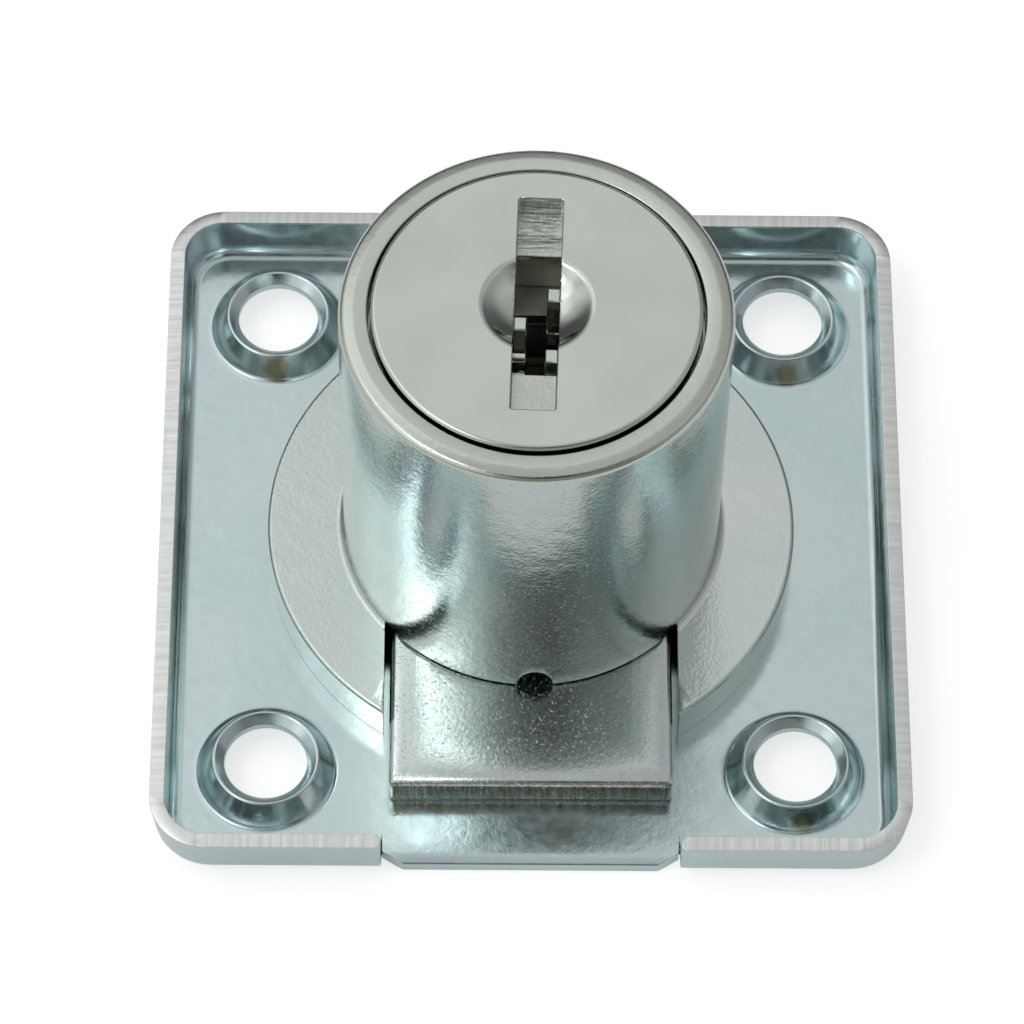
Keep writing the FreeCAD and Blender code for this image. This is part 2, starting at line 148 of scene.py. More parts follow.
def close_up(piece):
    """Merges what meets, turns the faces outwards, and puts the object's origin at the world's."""
    bpy.ops.object.mode_set(mode="EDIT")
    bpy.ops.mesh.select_all(action="SELECT")
    bpy.ops.mesh.remove_doubles(threshold=1e-7)
    bpy.ops.mesh.normals_make_consistent(inside=False)
    only(piece)
    bpy.ops.object.transform_apply(location=True, rotation=True, scale=True)
    return piece

# %% [markdown]
# A block is a cube drawn between two corners. Blocks and short rods are mostly tools: what they cut away is
# a slot or a pocket, as a milling cutter would leave it. The exact Boolean copes with faces that lie in one
# plane, which milled pieces are full of, and the fast one doesn't.

# %% Blocks, rods and cuts
def block(name, x, y, z, round_upright=0.0, steps=4):
    """A box between x, y and z ranges, with its upright edges rounded if asked."""
    only(None)
    low, high = Vector((min(x), min(y), min(z))), Vector((max(x), max(y), max(z)))
    bpy.ops.mesh.primitive_cube_add(size=1, location=(low + high) / 2 * MM, scale=(high - low) * MM)
    piece = bpy.context.object
    piece.name = name
    bpy.ops.object.transform_apply(location=True, rotation=True, scale=True)
    if round_upright:
        bpy.ops.object.mode_set(mode="EDIT")
        pick(piece, "EDGE", lambda p, d: abs(d.z) > 0.9 * (high.z - low.z))
        bpy.ops.mesh.bevel(offset=round_upright * MM, segments=steps, profile=0.5, clamp_overlap=False)
        close_up(piece)
    return piece


def rod(name, radius, z, centre=(0.0, 0.0), segments=64, edge=0.0):
    """A short rod along Z, with its ends' edges softened if asked."""
    low, high = min(z), max(z)
    corners = [(radius, low, edge), (radius, high, edge)]
    if edge:
        corners = [(radius - 2 * edge, low, 0), *corners, (radius - 2 * edge, high, 0)]
    return turn(name, soften(corners, 3), segments, centre, closed=False)


def carve(piece, tool, action="DIFFERENCE"):
    """Cuts the tool out of the piece, or joins it on, and takes the tool away."""
    only(piece)
    cut = piece.modifiers.new("cut", "BOOLEAN")
    cut.operation, cut.object, cut.solver = action, tool, "EXACT"
    bpy.ops.object.modifier_apply(modifier="cut")
    bpy.data.objects.remove(tool)


def gather(tools):
    """Makes several tools one object, so that one cut does all of their work."""
    only(tools[0])
    for tool in tools[1:]:
        tool.select_set(True)
    bpy.ops.object.join()
    return bpy.context.object

# %% [markdown]
# No real edge is perfectly sharp, and the hair of a bevel on it catches a thin line of light. That line tells
# the eye how big and how hard the piece is. A finished piece is also measured: a closed solid has exactly
# two faces at every edge, so the count of odd edges has to be 0.

# %% Break the edges, and measure a piece
def smooth(piece, edge, angle=30.0, flat_tops=False, crowned=False):
    """Breaks the sharp edges by a hair, as tumbling does, and smooths the shading between them.

    With flat_tops, the faces that look straight up or down are shaded flat, so that a polished disc mirrors
    evenly. A crowned piece keeps its plain normals, because weighted ones would show its rings as steps.
    """
    only(piece)
    hair = piece.modifiers.new("edges", "BEVEL")
    hair.width, hair.segments, hair.limit_method = edge * MM, 2, "ANGLE"
    hair.angle_limit, hair.use_clamp_overlap = math.radians(angle), False
    hair.miter_outer = "MITER_ARC"
    bpy.ops.object.modifier_apply(modifier="edges")
    bpy.ops.object.shade_smooth_by_angle(angle=math.radians(angle))
    if flat_tops:
        bpy.ops.object.mode_set(mode="EDIT")
        pick(piece, "FACE", lambda p, n: abs(n.z) > 0.99999)
        bpy.ops.mesh.faces_shade_flat()
        only(piece)
    if not crowned:
        even = piece.modifiers.new("flats", "WEIGHTED_NORMAL")
        even.keep_sharp, even.weight = True, 80
        bpy.ops.object.modifier_apply(modifier="flats")
    return piece


def report(piece):
    """Prints what a piece measures, in mm, and how many edges are open or crowded."""
    mesh = bmesh.new()
    mesh.from_mesh(piece.data)
    odd = sum(1 for edge in mesh.edges if len(edge.link_faces) != 2)
    triangles = sum(len(face.verts) - 2 for face in mesh.faces)
    mesh.free()
    size = [round(v / MM, 2) for corner in (piece.bound_box[0], piece.bound_box[6]) for v in corner]
    print(piece.name, "triangles", triangles, "odd edges", odd, "box", size)

# %% [markdown]
# ## The mounting plate
# On the real lock this is one steel sheet, 0.8 mm thick, pressed into a shallow tray whose walls lean out a
# little, so that it leaves the press. A block's base is drawn in, its four upright edges and its base are
# rounded, its top is taken off, and Solidify gives the sheet its thickness inwards. Walls and floor could be
# drawn one by one, but then each bend would have to be fitted. This way is the press's own: it draws a flat
# sheet round a block.

# %% Press the tray
SHEET, PLATE_HALF, RIM_TOP = 0.8, 20.0, 3.4
BASE_HALF, CORNER_R, BEND_R = 19.72, 3.0, 1.3

plate = block("mounting_plate_pressed", (-PLATE_HALF, PLATE_HALF), (-PLATE_HALF, PLATE_HALF), (0, RIM_TOP))
bpy.ops.object.mode_set(mode="EDIT")
pick(plate, "FACE", lambda p, n: near(p.z, 0))
lean = BASE_HALF / PLATE_HALF
bpy.ops.transform.resize(value=(lean, lean, 1), center_override=(0, 0, 0))
pick(plate, "EDGE", lambda p, d: near(p.z, RIM_TOP / 2))
bpy.ops.mesh.bevel(offset=CORNER_R * MM, segments=12, profile=0.5, clamp_overlap=False)
pick(plate, "EDGE", lambda p, d: near(p.z, 0))
bpy.ops.mesh.bevel(offset=BEND_R * MM, segments=10, profile=0.5, clamp_overlap=False)
pick(plate, "FACE", lambda p, n: near(p.z, RIM_TOP))
bpy.ops.mesh.delete(type="FACE")
close_up(plate)
wall = plate.modifiers.new("sheet", "SOLIDIFY")
wall.thickness, wall.offset, wall.use_even_offset = SHEET * MM, -1, True
bpy.ops.object.modifier_apply(modifier="sheet")
report(plate)

# %% [markdown]
# The rim is cut away where the bolt comes out, and the two ends of the rim are rounded. What is left of the
# floor's edge there is drawn out into a flat tongue, a little narrower than the opening. The press pulls its
# front corners in and squeezes it thinner towards the tip, so each extrusion is also scaled. A separate
# block for the tongue would leave a seam, and one sheet has none.

# %% Open the rim and draw out the tongue
GAP_HALF, FLAT_HALF, END_R = 7.85, 18.1, 0.35
TONGUE = ((0.7, 7.8, 0.97), (0.5, 7.05, 0.93), (0.2, 6.65, 0.88))  # how far forward, half width, thinning

carve(plate, block("opening", (-GAP_HALF, GAP_HALF), (-FLAT_HALF, -30), (-5, 10)))
bpy.ops.object.mode_set(mode="EDIT")
pick(plate, "EDGE", lambda p, d: near(abs(p.x), GAP_HALF)
     and (near(p.z, RIM_TOP) or p.y < -19 and abs(d.z) > 1))
bpy.ops.mesh.bevel(offset=END_R * MM, segments=5, profile=0.5, clamp_overlap=False)
pick(plate, "FACE", lambda p, n: near(p.y, -FLAT_HALF) and n.y < -0.9)
half = GAP_HALF
for forward, next_half, thinner in TONGUE:
    bpy.ops.mesh.extrude_region_move(TRANSFORM_OT_translate={"value": (0, -forward * MM, 0)})
    bpy.ops.transform.resize(value=(next_half / half, 1, thinner), center_override=(0, 0, 0))
    half = next_half
close_up(plate)
report(plate)

# %% [markdown]
# At each screw the sheet is pushed up into a small crater: a steep flank, a thin crest, and a funnel for the
# screw's head that leads down to the hole. The press draws it out of the sheet, and so does this step: a
# round opening is cut, its wall is taken off, and its upper edge is drawn ring by ring over the crest, down
# the hole, out under the flank, and back to the opening's lower edge. A cone joined on by a Boolean would
# look alike from above, but it would be solid below, and a pressed boss is hollow.

# %% Raise the four screw bosses
SCREW_AT = 14.0
BOSS = soften([(4.0, SHEET, 0), (3.6, SHEET, 0.35),     # the floor, and the foot of the flank
               (2.78, 2.27, 0.15),                      # the crest
               (2.2, 1.76, 0.1), (2.2, 1.35, 0.1),      # the funnel's end, and the hole
               (3.6, 0, 0.06), (4.0, 0, 0)], 5)         # the hollow below, and the floor's back

for place in [(sx * SCREW_AT, sy * SCREW_AT) for sx in (-1, 1) for sy in (-1, 1)]:
    carve(plate, rod("opening", BOSS[0].x, (-1, 2), place, 96))
    middle = Vector(place)
    bpy.ops.object.mode_set(mode="EDIT")
    pick(plate, "FACE", lambda p, n: abs(n.z) < 0.1 and near((p.xy - middle).length, BOSS[0].x))
    bpy.ops.mesh.delete(type="FACE")
    pick(plate, "EDGE", lambda p, d: near(p.z, SHEET) and near((p.xy - middle).length, BOSS[0].x))
    for before, after in zip(BOSS, BOSS[1:-1]):
        bpy.ops.mesh.extrude_edges_move(TRANSFORM_OT_translate={"value": (0, 0, (after.y - before.y) * MM)})
        bpy.ops.transform.resize(value=(after.x / before.x, after.x / before.x, 1),
                                 center_override=(place[0] * MM, place[1] * MM, after.y * MM))
    bpy.ops.mesh.select_all(action="DESELECT")
    bpy.ops.mesh.select_non_manifold()
    bpy.ops.mesh.bridge_edge_loops()
    close_up(plate)
report(plate)

# %% [markdown]
# The casting is held by three studs, and the plate has a round hole for each. The three cutters are made one
# object first, because one Boolean is quicker and cleaner than three.

# %% Punch the three stud holes
STUD_CIRCLE, STUD_R, STUD_HOLE_R = 12.0, 1.5, 1.52
STUD_AT = [(STUD_CIRCLE * math.cos(math.radians(a)), STUD_CIRCLE * math.sin(math.radians(a)))
           for a in (-17, 90, 197)]

carve(plate, gather([rod("hole", STUD_HOLE_R, (-1, 2), place, 48) for place in STUD_AT]))
report(plate)

# %% [markdown]
# Where the rim ends at the opening, its lower corners are rounded too. A bevel there would meet the bend in
# a knot of small faces. So the corners are pushed aside a little instead, the lower the more.

# %% Round the lower corners of the rim's two ends
PUSHES = ((1.0, 1.008), (0.6, 1.012), (0.3, 1.018), (0.12, 1.02))  # what lies below this, and how far it goes

bpy.ops.object.mode_set(mode="EDIT")
for below, push in PUSHES:
    pick(plate, "VERT", lambda p, n: GAP_HALF - 0.01 < abs(p.x) < 9 and p.y < -18.6 and p.z < below)
    bpy.ops.transform.resize(value=(push, 1, 1), center_override=(0, 0, 0))
smooth(plate, edge=0.05, angle=35)
report(plate)

# %% [markdown]
# ## The lock housing
# The housing is one zinc casting: a round flange, cut away for the bolt from its front edge to under the
# barrel, and the round barrel on it. Both could be one turned profile, but the opening for the bolt goes
# through the flange only. So they are turned apart, and the flange is cut before the barrel is joined on.

# %% Cast the flange
FLANGE_R, FLANGE_TOP, FLANGE_CORNER_R = 14.2, 3.3, 0.9
CHANNEL_HALF, CHANNEL_TOP, CHANNEL_R = 7.8, 3.15, 10.0
FOOT_R, FOOT_Z, FILLET_R = 10.5, 3.74, 0.44  # the hollow rounding where the barrel stands on the flange

foot = [(FOOT_R - FILLET_R * math.sin(math.radians(a)), FOOT_Z - FILLET_R * math.cos(math.radians(a)), 0)
        for a in range(0, 95, 15)]
flange = soften([(13.0, SHEET, 0), (FLANGE_R, SHEET, 0.05), (FLANGE_R, FLANGE_TOP, 0.22), *foot], 5)
housing = turn("lock_housing_cast", flange, 192, closed=False)
carve(housing, block("way", (-CHANNEL_HALF, CHANNEL_HALF), (-20, 0), (0, 10)))
bpy.ops.object.mode_set(mode="EDIT")
pick(housing, "EDGE", lambda p, d: abs(d.z) > 1 and near(abs(p.x), CHANNEL_HALF) and p.y < -5)
bpy.ops.mesh.bevel(offset=FLANGE_CORNER_R * MM, segments=8, profile=0.5, clamp_overlap=False)
close_up(housing)
pocket = rod("pocket", CHANNEL_R, (0, CHANNEL_TOP), segments=128)
carve(pocket, block("limit", (-CHANNEL_HALF, CHANNEL_HALF), (-1, 12), (-1, 5)), "INTERSECT")
carve(housing, pocket)
report(housing)

# %% [markdown]
# The barrel is a tube with three widths inside: a sink for the plug's head, the bore for its body, and,
# under a thin collar, the room for the clip. Its lip is crowned by a hair, as a lathe tool leaves it, which
# turns one hard reflection into a soft one. Two plain rings near the foot keep the long faces of the wall
# apart from the cuts below, where long thin triangles would show as lines.

# %% Cast the barrel on it, with its bore
BARREL_R, LIP_R, LIP_Z = 10.1, 9.35, 24.0
SINK_R, SINK_Z, BORE_R, COLLAR_R, CLIP_ROOM_R = 8.62, 22.2, 6.7, 5.85, 7.1
BARREL = [(CLIP_ROOM_R, CHANNEL_TOP, 0), (BARREL_R, CHANNEL_TOP, 0.14),                           # the foot
          (BARREL_R, 4.3, 0), (BARREL_R, 5.2, 0),                                                 # the rings
          (BARREL_R, LIP_Z - 0.12, 0.4), (LIP_R, LIP_Z, 0.8), (SINK_R, LIP_Z - 0.02, 0.1),        # the lip
          (SINK_R, SINK_Z, 0), (BORE_R, SINK_Z, 0.05),                                            # the sink
          (BORE_R, 5.4, 0), (COLLAR_R, 5.4, 0), (COLLAR_R, 4.4, 0), (CLIP_ROOM_R, 4.4, 0)]        # the collar

carve(housing, rod("bore", 8.0, (0, 5), segments=128))
carve(housing, turn("barrel", soften(BARREL, 5, closed=True), 192), "UNION")
report(housing)

# %% [markdown]
# A small half-round notch at the barrel's foot, over the bolt, lets the core pin out of the mould. It is
# taller than half a circle, so a lying cylinder is stretched upwards before it cuts. The grooves for the
# wafers run up two sides of the bore. The studs are drawn at their finished length, flush with the plate's
# back, because a hammered stud fills its hole.

# %% Notch, wafer grooves and studs
NOTCH_R, NOTCH_TALL, NOTCH_X, NOTCH_Y, NOTCH_LONG = 0.95, 1.4, 0.2, -9.6, 5
GROOVE_R, GROOVE_HALF, GROOVE_Z = 8.3, 3.64, (5.42, 22.3)
STUD_Z = (0, 1.2)

only(None)
bpy.ops.mesh.primitive_cylinder_add(vertices=48, radius=NOTCH_R * MM, depth=NOTCH_LONG * MM,
                                    rotation=(math.pi / 2, 0, 0),
                                    location=(NOTCH_X * MM, NOTCH_Y * MM, CHANNEL_TOP * MM))
arch = bpy.context.object
arch.name = "arch"
bpy.ops.object.transform_apply(location=True, rotation=True, scale=True)
bpy.ops.object.mode_set(mode="EDIT")
bpy.ops.mesh.select_all(action="SELECT")
bpy.ops.transform.resize(value=(1, 1, NOTCH_TALL / NOTCH_R), center_override=(0, 0, CHANNEL_TOP * MM))
close_up(arch)
carve(housing, arch)
groove = rod("groove", GROOVE_R, GROOVE_Z, segments=96)
carve(groove, block("limit", (-GROOVE_HALF, GROOVE_HALF), (-9, 9), (5, 23)), "INTERSECT")
carve(housing, groove)
for place in STUD_AT:
    carve(housing, rod("stud", STUD_R, STUD_Z, place, 48, edge=0.08), "UNION")
report(housing)
smooth(housing, edge=0.04, angle=40)
report(housing)

# %% [markdown]
# ## The plug
# The plug is the piece that the key turns. Its face is a polished disc with a round dish for the key's
# shoulder, a long shallow recess across it, and the deep keyway in the middle. It is turned first, head,
# body and neck together, and then milled, in the order in which a shop would make it. The pin that drives
# the bolt stands off the middle of its foot.

# %% Turn the plug
HEAD_R, FACE_Z, BODY_R, NECK_R, CLIP_GROOVE_R = 8.46, 24.25, 6.65, 5.8, 5.2
PIN_R, PIN_AT, PIN_Z = 1.2, 4.5, (1.0, 4.0)
PLUG = soften([(4.0, FACE_Z, 0), (HEAD_R, FACE_Z, 0.22), (HEAD_R, 22.25, 0.08),                   # the head
               (BODY_R, 22.25, 0), (BODY_R, 5.45, 0.1),                                           # the body
               (NECK_R, 5.45, 0), (NECK_R, 4.32, 0),                                              # the neck
               (CLIP_GROOVE_R, 4.32, 0), (CLIP_GROOVE_R, 3.68, 0),                                # the groove
               (NECK_R, 3.68, 0), (NECK_R, 3.2, 0.1), (4.6, 3.2, 0)], 5)                          # the foot

plug = turn("plug_turned", PLUG, 160, closed=False)
carve(plug, rod("pin", PIN_R, PIN_Z, (0, PIN_AT), 48, edge=0.08), "UNION")
report(plug)

# %% [markdown]
# The dish is part of a ball. A sphere could cut it, but then its edge would be sharp, and the real one is
# rolled over. So its profile is drawn: the ball's curve, two points that round the edge, and two more that
# run out over the face. The dish sits a little off the middle and turned by two degrees, with the keyway.

# %% Press the dish
KEY_SHIFT, KEY_TURN = 0.28, math.radians(-2)
DISH_R, DISH_DEEP = 2.82, 1.02
BALL_R = (DISH_R ** 2 + DISH_DEEP ** 2) / (2 * DISH_DEEP)
INNER_R, OUTER_R, RINGS = 0.3, DISH_R - 0.16, 12


def on_face(tool):
    """Moves a tool drawn about the middle to the keyway, which is a little high and turned."""
    only(tool)
    tool.location = Vector((-math.sin(KEY_TURN), math.cos(KEY_TURN), 0)) * KEY_SHIFT * MM
    tool.rotation_euler.z = KEY_TURN
    bpy.ops.object.transform_apply(location=True, rotation=True, scale=True)
    return tool


bowl = [Vector((r, FACE_Z - DISH_DEEP + BALL_R - math.sqrt(BALL_R ** 2 - r ** 2)))
        for r in [INNER_R + (OUTER_R - INNER_R) * ring / RINGS for ring in range(RINGS + 1)]]
bowl += [Vector((DISH_R - 0.04, FACE_Z - 0.045)), Vector((DISH_R + 0.06, FACE_Z - 0.016)),
         Vector((DISH_R + 0.3, FACE_Z + 0.02)), Vector((DISH_R + 0.4, FACE_Z + 0.5))]
carve(plug, on_face(turn("dish", bowl, 96, closed=False)))
report(plug)

# %% [markdown]
# The recess and the keyway are blocks taken out. The ribs that only let the right key pass stay standing in
# the slot. They could be joined on afterwards, but then they would have to fit the slot's walls. So they
# are taken out of the cutter instead, and where the cutter is missing, the plug's own metal stays.

# %% Mill the recess and the keyway
KEY_HALF, RECESS_Z, RECESS_REACH, KEYWAY_Z, KEYWAY_REACH = 1.15, 23.1, 6.4, 6.1, 3.6
RIBS = ((1, 1.6), (-1, -0.2), (1, -2.1))  # the wall that a rib stands on, and its place along the slot
RIB_X, RIB_HALF, RIB_Z = (1.3, 0.5), 0.4, (5.9, 22.6)

key_cut = block("recess", (-KEY_HALF, KEY_HALF), (-RECESS_REACH, RECESS_REACH), (RECESS_Z, 26), 0.12)
slit = block("keyway", (-KEY_HALF, KEY_HALF), (-KEYWAY_REACH, KEYWAY_REACH), (KEYWAY_Z, 24))
carve(key_cut, slit, "UNION")
for wall, y in RIBS:
    rib = block("rib", (wall * RIB_X[0], wall * RIB_X[1]), (y - RIB_HALF, y + RIB_HALF), RIB_Z)
    carve(key_cut, smooth(rib, edge=0.06))
report(key_cut)
carve(plug, on_face(key_cut))
report(plug)

# %% [markdown]
# Eight slots cross the plug for the wafers, and each has a pocket at one side for its spring. The pockets
# change sides from wafer to wafer, which leaves more metal between them. All eight cutters are gathered, so
# that the plug is cut once.

# %% Mill the wafer slots
WAFERS = [(19.95 + (6.75 - 19.95) * n / 7, 1 if n % 2 == 0 else -1) for n in range(8)]  # height, side
SLOT_HALF, SLOT_REACH, SLOT_THICK = 3.55, 8.4, 0.78
POCKET_X, POCKET_END, POCKET_THICK = (3.5, 5.1), 2.64, 1.2

cutters = []
for z, side in WAFERS:
    slot = block("slot", (-SLOT_HALF, SLOT_HALF), (-SLOT_REACH, SLOT_REACH),
                 (z - SLOT_THICK / 2, z + SLOT_THICK / 2))
    room = block("room", (side * POCKET_X[0], side * POCKET_X[1]), (side * POCKET_END, -side * SLOT_REACH),
                 (z - POCKET_THICK / 2, z + POCKET_THICK / 2))
    carve(slot, room, "UNION")
    cutters.append(slot)
carve(plug, gather(cutters))
smooth(plug, edge=0.05, angle=35, flat_tops=True)
report(plug)

# %% [markdown]
# ## The bolt
# The bolt is a flat bar of plated steel, square in front and round behind, with a cross slot for the plug's
# pin. Its top edges are well rounded, and its top face falls away a little towards them, which is what
# draws the soft bands of light on it. One large bevel would round the edges but leave the middle dead flat.
# So the top face is inset ring by ring, each ring a little higher and flatter than the last.

# %% Forge the bolt
BOLT_HALF, BOLT_LOW, BOLT_TOP, BOLT_FRONT, BOLT_EDGE_R = 7.5, 0.85, 3.0, -15.8, 0.3
CROWN = ((0.42, 0.18), (0.18, 0.06), (0.2, 0.05), (0.25, 0.042),    # how far in, and how far up
         (0.3, 0.035), (0.4, 0.03), (0.5, 0.018), (0.4, 0))
shoulder = BOLT_TOP - sum(rise for width, rise in CROWN)


def outer_edge(p, d):
    """The upright edges, the shoulder's, and the lower one in front, but none at the back."""
    lower_front = p.y < BOLT_FRONT + 0.1 and near(p.z, BOLT_LOW)
    return p.y < 11 and (abs(d.z) > 1 or near(p.z, shoulder) or lower_front)


bolt = block("bolt_plated", (-BOLT_HALF, BOLT_HALF), (BOLT_FRONT, 12), (BOLT_LOW, shoulder))
bpy.ops.object.mode_set(mode="EDIT")
pick(bolt, "FACE", lambda p, n: n.z > 0.99)
for width, rise in CROWN:
    bpy.ops.mesh.inset(thickness=width * MM, depth=rise * MM)
pick(bolt, "EDGE", outer_edge)
bpy.ops.mesh.bevel(offset=BOLT_EDGE_R * MM, segments=6, profile=0.5, clamp_overlap=False)
close_up(bolt)
report(bolt)

# %% [markdown]
# The bolt's back end is part of a circle, so that it clears the housing's wall when it is drawn in. A rod
# with a block in front of it has that outline, and what the bar and this outline share is kept. The cross
# slot is a rounded block taken out across the bar, where the pin runs from side to side.

# %% Round its back end, and cut the cross slot
BACK_R, CROSS_HALF, CROSS_WIDE, CROSS_CORNER_R = 9.6, 5.9, 4.494, 1.2

back = rod("back", BACK_R, (0, 4), segments=128)
carve(back, block("front", (-9, 9), (-20, 0), (-0.5, 4.5)), "UNION")
carve(bolt, back, "INTERSECT")
carve(bolt, block("cross_slot", (-CROSS_HALF, CROSS_HALF), (PIN_AT - CROSS_WIDE / 2, PIN_AT + CROSS_WIDE / 2),
                  (-1, 5), CROSS_CORNER_R, 6))
smooth(bolt, edge=0.05, angle=35, crowned=True)
report(bolt)

# %% [markdown]
# ## The wafer springs
# Each spring is a wire ring drawn round a line with the Screw modifier, which keeps the wire evenly thick. A
# curve with a round bevel would do too, but it would have to be turned into a mesh and closed. One spring is
# made, and each wafer gets a copy with its own mesh, moved to the wafer's lug. On every second wafer the
# spring works the other way, so its copy is turned half round.

# %% Wind the springs
WIRE_R, COIL_R, COIL_LONG, TURNS, STEPS = 0.1, 0.42, 2.0, 3, 24
LUG_X, LUG_Y = 4.325, 0.52

only(None)
bpy.ops.mesh.primitive_circle_add(vertices=10, radius=WIRE_R * MM, location=(COIL_R * MM, 0, 0),
                                  fill_type="NOTHING")
wire = bpy.context.object
wire.name = "wafer_spring_wound"
bpy.ops.object.transform_apply(location=True, rotation=True, scale=True)
bpy.ops.object.mode_set(mode="EDIT")
bpy.ops.mesh.select_all(action="SELECT")
bpy.ops.transform.rotate(value=math.pi / 2, orient_axis="X", center_override=(COIL_R * MM, 0, 0))
only(wire)
coil = wire.modifiers.new("coil", "SCREW")
coil.axis, coil.angle, coil.iterations = "Z", 2 * math.pi, TURNS
coil.screw_offset, coil.steps, coil.render_steps = COIL_LONG * MM / TURNS, STEPS, STEPS
bpy.ops.object.modifier_apply(modifier="coil")
bpy.ops.object.mode_set(mode="EDIT")
bpy.ops.mesh.select_all(action="SELECT")
bpy.ops.mesh.region_to_loop()
bpy.ops.mesh.fill_holes(sides=0)
close_up(wire)
springs = []
for number, (z, side) in enumerate(WAFERS, 1):
    spring = wire.copy()
    spring.data = wire.data.copy()
    spring.name = f"wafer_spring_{number}_wound"
    bpy.context.collection.objects.link(spring)
    spring.rotation_euler = (-side * math.pi / 2, 0, 0)
    spring.location = Vector((side * LUG_X, side * LUG_Y, z)) * MM
    only(spring)
    bpy.ops.object.transform_apply(location=True, rotation=True, scale=True)
    bpy.ops.object.shade_smooth_by_angle(angle=math.radians(60))
    springs.append(spring)
bpy.data.objects.remove(wire)
report(springs[0])

# %% [markdown]
# ## Finishes
# Every finish is a metal whose colour, roughness and small bumps change over the surface. Image textures
# could do this too, but then each piece would need to be unwrapped. Patterns made by noise are laid in the
# object's own millimetres instead, so they have no seams and stay with the piece when it moves. Two kinds of
# change do most of the work: fine grain that breaks a reflection up, and broad clouds of tint that plating
# leaves.

# %% Small helpers for the finishes
def node(finish, kind, inputs=(), **settings):
    """Adds a node, sets it, and links or sets its inputs by name or number."""
    made = finish.node_tree.nodes.new(kind)
    for name, value in settings.items():
        setattr(made, name, value)
    for key, value in dict(inputs).items():
        if isinstance(value, bpy.types.NodeSocket):
            finish.node_tree.links.new(value, made.inputs[key])
        else:
            made.inputs[key].default_value = value
    return made


def new_metal(name):
    """A bare metal, with nothing on it yet."""
    finish = bpy.data.materials.new(name)
    finish.use_nodes = True
    finish.node_tree.nodes["Principled BSDF"].inputs["Metallic"].default_value = 1.0
    return finish


def wear(finish, **links):
    """Links values to the shader's sockets."""
    shader = finish.node_tree.nodes["Principled BSDF"]
    for socket, value in links.items():
        finish.node_tree.links.new(value, shader.inputs[socket.replace("_", " ")])
    return finish


def math_node(finish, action, a, b=0.0):
    return node(finish, "ShaderNodeMath", {0: a, 1: b}, operation=action).outputs[0]

# %% [markdown]
# A pattern starts from where a place on the piece is. Noise turns places into clouds or grain, a range picks
# out a part of the piece or of the noise, and the result becomes a colour, a roughness or a bump.

# %% Places, patterns, colours and bumps
def places(finish, stretch=(1, 1, 1)):
    """The piece's own coordinates in mm, stretched along an axis if asked."""
    raw = node(finish, "ShaderNodeTexCoord")
    return node(finish, "ShaderNodeMapping", {"Vector": raw.outputs["Object"],
                                              "Scale": [s / MM for s in stretch]}).outputs["Vector"]


def along(finish, axis):
    """How far along X, Y or Z a place on the piece is, in mm."""
    return node(finish, "ShaderNodeSeparateXYZ", {0: places(finish)}).outputs[axis]


def grain(finish, at, size, detail=3.0, roughness=0.5):
    """Cloudy noise whose blobs are this many mm across."""
    return node(finish, "ShaderNodeTexNoise", {"Vector": at, "Scale": 1 / size, "Detail": detail,
                                               "Roughness": roughness}).outputs["Fac"]


def spread(finish, value, low, high, to_low=0.0, to_high=1.0):
    """Maps one range of values to another, and holds it at both ends."""
    return node(finish, "ShaderNodeMapRange", {"Value": value, "From Min": low, "From Max": high,
                                               "To Min": to_low, "To Max": to_high}).outputs["Result"]


def tint(finish, value, stops):
    """A colour that changes with a value. A stop is a position and a colour."""
    ramp = node(finish, "ShaderNodeValToRGB", {"Fac": value})
    line = ramp.color_ramp
    for number, (position, colour) in enumerate(stops):
        stop = line.elements[number] if number < 2 else line.elements.new(position)
        stop.position = position
        stop.color = (*colour, 1)
    return ramp.outputs["Color"]


def mix_colour(finish, amount, a, b):
    return node(finish, "ShaderNodeMix", {0: amount, 6: a, 7: b}, data_type="RGBA").outputs[2]


def relief(finish, height, depth, before=None):
    """A bump whose height runs from 0 to 1 for this many mm."""
    inputs = {"Height": height, "Distance": depth * MM, "Strength": 1.0}
    if before is not None:
        inputs["Normal"] = before
    return node(finish, "ShaderNodeBump", inputs).outputs["Normal"]

# %% [markdown]
# ### Zinc-plated sheet
# Rolled sheet with a thin coat of zinc is blue-grey and almost a mirror, with a faint peel like an orange's.
# Three things tell that it was worked. The rim's top is where the sheet was sheared, so it is paler and has
# small torn ticks all the way along. The yellow rinse of the plating dried in small stains at the feet of
# some bosses. Near the tongue the press has drawn the sheet most, and its grain stands out. The ticks are
# noise along one line, because noise in space would come out as blots.

# %% Zinc-plated sheet
STAINS = ((-14.0, 10.8, 0.55), (14.1, 10.8, 0.5), (14.2, -10.7, 0.5), (14.3, -17.0, 0.45))  # x, y, size
STAIN_Z, STAIN_COLOUR = 1.4, (0.30, 0.27, 0.10, 1)
TICKS_PER_MM = 2.6


